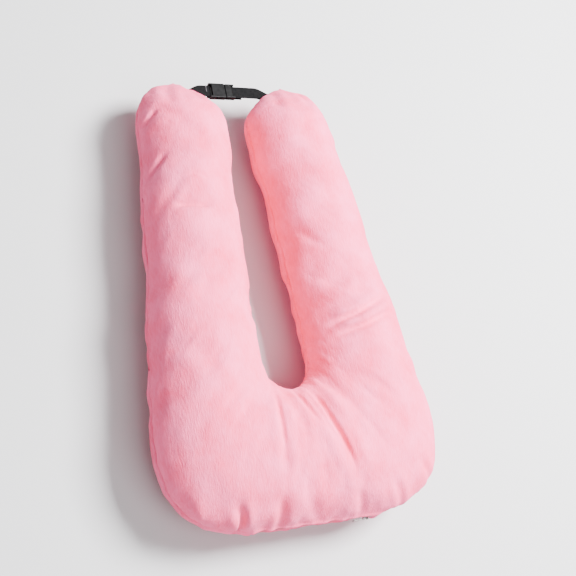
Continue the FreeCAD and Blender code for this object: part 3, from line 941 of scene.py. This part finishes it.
def fibre_material():
    """White tangled filling."""
    material, nodes, links, main = shader("fibre", roughness=0.95)
    tangle = add_noise(nodes, links, EVEN, scale=240.0, detail=6.0)
    tone = add_ramp(nodes, links, tangle, (0.7, 0.7, 0.68), (0.9, 0.9, 0.88))
    links.new(tone, main.inputs["Base Color"])
    add_bump(nodes, links, main, tangle, strength=0.8, distance=2 * MM)
    return material


def plastic_material():
    """Black moulded acetal with a fine spark texture."""
    material, nodes, links, main = shader("buckle_plastic", roughness=0.32)
    main.inputs["Specular IOR Level"].default_value = 0.14
    spark = add_noise(nodes, links, EVEN, scale=1800.0, detail=2.0)
    worn = add_noise(nodes, links, EVEN, scale=160.0, detail=3.0)
    tone = add_ramp(nodes, links, worn, (0.0015, 0.0015, 0.0018), (0.004, 0.004, 0.0045))
    links.new(tone, main.inputs["Base Color"])
    links.new(add_range(nodes, links, worn, low=0.34, high=0.5), main.inputs["Roughness"])
    add_bump(nodes, links, main, spark, strength=0.12, distance=0.2 * MM)
    return material


def metal_material():
    """Brushed nickel with small scratches."""
    material, nodes, links, main = shader("zip_metal", roughness=0.3)
    main.inputs["Metallic"].default_value = 1.0
    brush = add_noise(nodes, links, stretch=(0.08, 1.0, 1.0), scale=2400.0, detail=2.0)
    tone = add_ramp(nodes, links, brush, (0.11, 0.105, 0.1), (0.2, 0.19, 0.18))
    links.new(tone, main.inputs["Base Color"])
    links.new(add_range(nodes, links, brush, low=0.34, high=0.52), main.inputs["Roughness"])
    add_bump(nodes, links, main, brush, strength=0.15, distance=0.1 * MM)
    return material


def satin_material():
    """White satin label ribbon with a fine cross weave and no print."""
    material, nodes, links, main = shader("label", roughness=0.45)
    weave = add_noise(nodes, links, stretch=(1.0, 0.2, 1.0), scale=1400.0, detail=1.0)
    tone = add_ramp(nodes, links, weave, (0.72, 0.71, 0.7), (0.88, 0.87, 0.86))
    links.new(tone, main.inputs["Base Color"])
    add_bump(nodes, links, main, weave, strength=0.2, distance=0.2 * MM)
    return material


# ---------------------------------------------------------------- stage

FLOOR_SIZE = 12.0
FLOOR_GREY = (0.5, 0.5, 0.51)
SKY_STRENGTH = 0.6
LIGHT_AIM = Vector((0, 0, 0.05))


def make_stage():
    """Lay a pale floor and hang soft lights."""
    bpy.ops.mesh.primitive_plane_add(size=FLOOR_SIZE, location=(0, 0, 0))
    floor = bpy.context.active_object
    floor.name = "floor"
    floor.data.materials.append(shader("floor_paint", 0.9, FLOOR_GREY)[0])
    add_light("key_light", place=(1.6, 0.3, 2.2), width=1.1, power=500)
    add_light("fill_light", place=(0.3, -1.7, 2.6), width=2.0, power=70)
    world = bpy.data.worlds.new("sky")
    world.use_nodes = True
    sky = world.node_tree.nodes["Background"]
    sky.inputs["Color"].default_value = (1, 1, 1, 1)
    sky.inputs["Strength"].default_value = SKY_STRENGTH
    bpy.context.scene.world = world


def add_light(name, place, width, power):
    """Hang a square soft light that faces the pillow."""
    data = bpy.data.lights.new(name, "AREA")
    data.energy = power
    data.size = width
    light = bpy.data.objects.new(name, data)
    bpy.context.collection.objects.link(light)
    light.location = place
    light.rotation_euler = (LIGHT_AIM - Vector(place)).to_track_quat("-Z", "Y").to_euler()


# ---------------------------------------------------------------- build

def add_piece(piece, slot, *nodes):
    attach(piece, "cushion")
    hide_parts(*nodes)


def add_cushion():
    """Make the cover's two panels, the inner bag's two panels and the filling."""
    points = cover_points()
    front_half = half_columns(True)
    back_half = half_columns(False)
    plush = plush_material()
    bag = fabric_material("inner_fabric", (0.72, 0.72, 0.74), (0.86, 0.86, 0.87), scale=1500.0)
    front = panel("plush_panel_front", points, front_half, plush)
    back = panel("plush_panel_back", points, back_half, plush)
    bag_front = inner_layer("bag_panel_front", points, BAG_INSET, front_half, bag, BAG_WALL)
    bag_back = inner_layer("bag_panel_back", points, BAG_INSET, back_half, bag, BAG_WALL)
    whole_ring = list(range(RING))
    filling = inner_layer("filling_mass", points, FILLING_INSET, whole_ring, fibre_material())
    add_piece(front, "plush", "cover_front")
    add_piece(back, "plush", "cover_back")
    add_piece(bag_front, "inner_fabric", "inner_bag_front")
    add_piece(bag_back, "inner_fabric", "inner_bag_back")
    add_piece(filling, "fibre", "fibre_filling")


def add_zip():
    """Make the tapes and teeth; the CAD slider, pull and stops stay, and finish_hardware gives
    them nickel.
    """
    tape = fabric_material("zip_tape", (0.6, 0.12, 0.18), (0.78, 0.2, 0.28), scale=1300.0)
    for side in ("upper", "lower"):
        node = f"zip_tape_{side}"
        add_piece(zip_tape(f"woven_tape_{side}", node, tape), "zip_tape", node)
        node = f"zip_coil_{side}"
        add_piece(zip_coil(f"nylon_teeth_{side}", node, tape), "zip_tape", node)


# The buckle's bars that the straps loop round, and the loops' middle radius.
SOCKET_BAR_X = -32.0 * MM
PLUG_BAR_X = 8.5 * MM
LOOP_RADIUS = 2.55 * MM
# The straps' free tails past the bars, their sewn ends inside the tips, and their
# thickness.
SOCKET_TAIL = 4 * MM
PLUG_TAIL = 15 * MM
TIP_ROOT_X = 82.0 * MM
STRAP_THICKNESS = 1.5 * MM


def strap(name, bar_x, root_x, tail, material):
    """Make one webbing strap, from its sewn end in a tip round the buckle's bar."""
    low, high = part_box("strap_left")
    path = loop_path(bar_x, SEAM_Z - LOOP_RADIUS, LOOP_RADIUS, root_x, tail)
    return band(name, path, low[1], high[1], STRAP_THICKNESS, material,
                WEBBING_RIB, WEBBING_PITCH, dip=STRAP_DIP)


def add_strap():
    """Make the two webbing straps and the bartack."""
    black = ((0.001, 0.001, 0.0012), (0.006, 0.006, 0.0065))
    webbing = fabric_material("webbing", *black, scale=1100.0, roughness=0.85)
    piece = strap("webbing_left", SOCKET_BAR_X, -TIP_ROOT_X, SOCKET_TAIL, webbing)
    add_piece(piece, "webbing", "strap_left")
    piece = strap("webbing_right", PLUG_BAR_X, TIP_ROOT_X, PLUG_TAIL, webbing)
    add_piece(piece, "webbing", "strap_right")
    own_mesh(piece)
    grey = ((0.02, 0.02, 0.022), (0.07, 0.07, 0.075))
    thread = fabric_material("thread", *grey, scale=2500.0, roughness=0.6)
    add_piece(bartack(thread), "thread", "strap_bartack")


def dress(node, material):
    """Put a material on a CAD node."""
    materials = bpy.data.objects[node].data.materials
    materials.clear()
    materials.append(material)


def finish_hardware():
    """Give the CAD parts that stay their materials."""
    metal = metal_material()
    plastic = plastic_material()
    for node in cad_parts:
        if node in ("zip_slider", "zip_pull", "zip_stop_left", "zip_stop_right"):
            dress(node, metal)
        elif node.startswith("buckle_"):
            dress(node, plastic)


make_camera()
make_stage()
add_cushion()
add_zip()
add_strap()
finish_hardware()
add_piece(care_label(satin_material()), "label", "care_label")
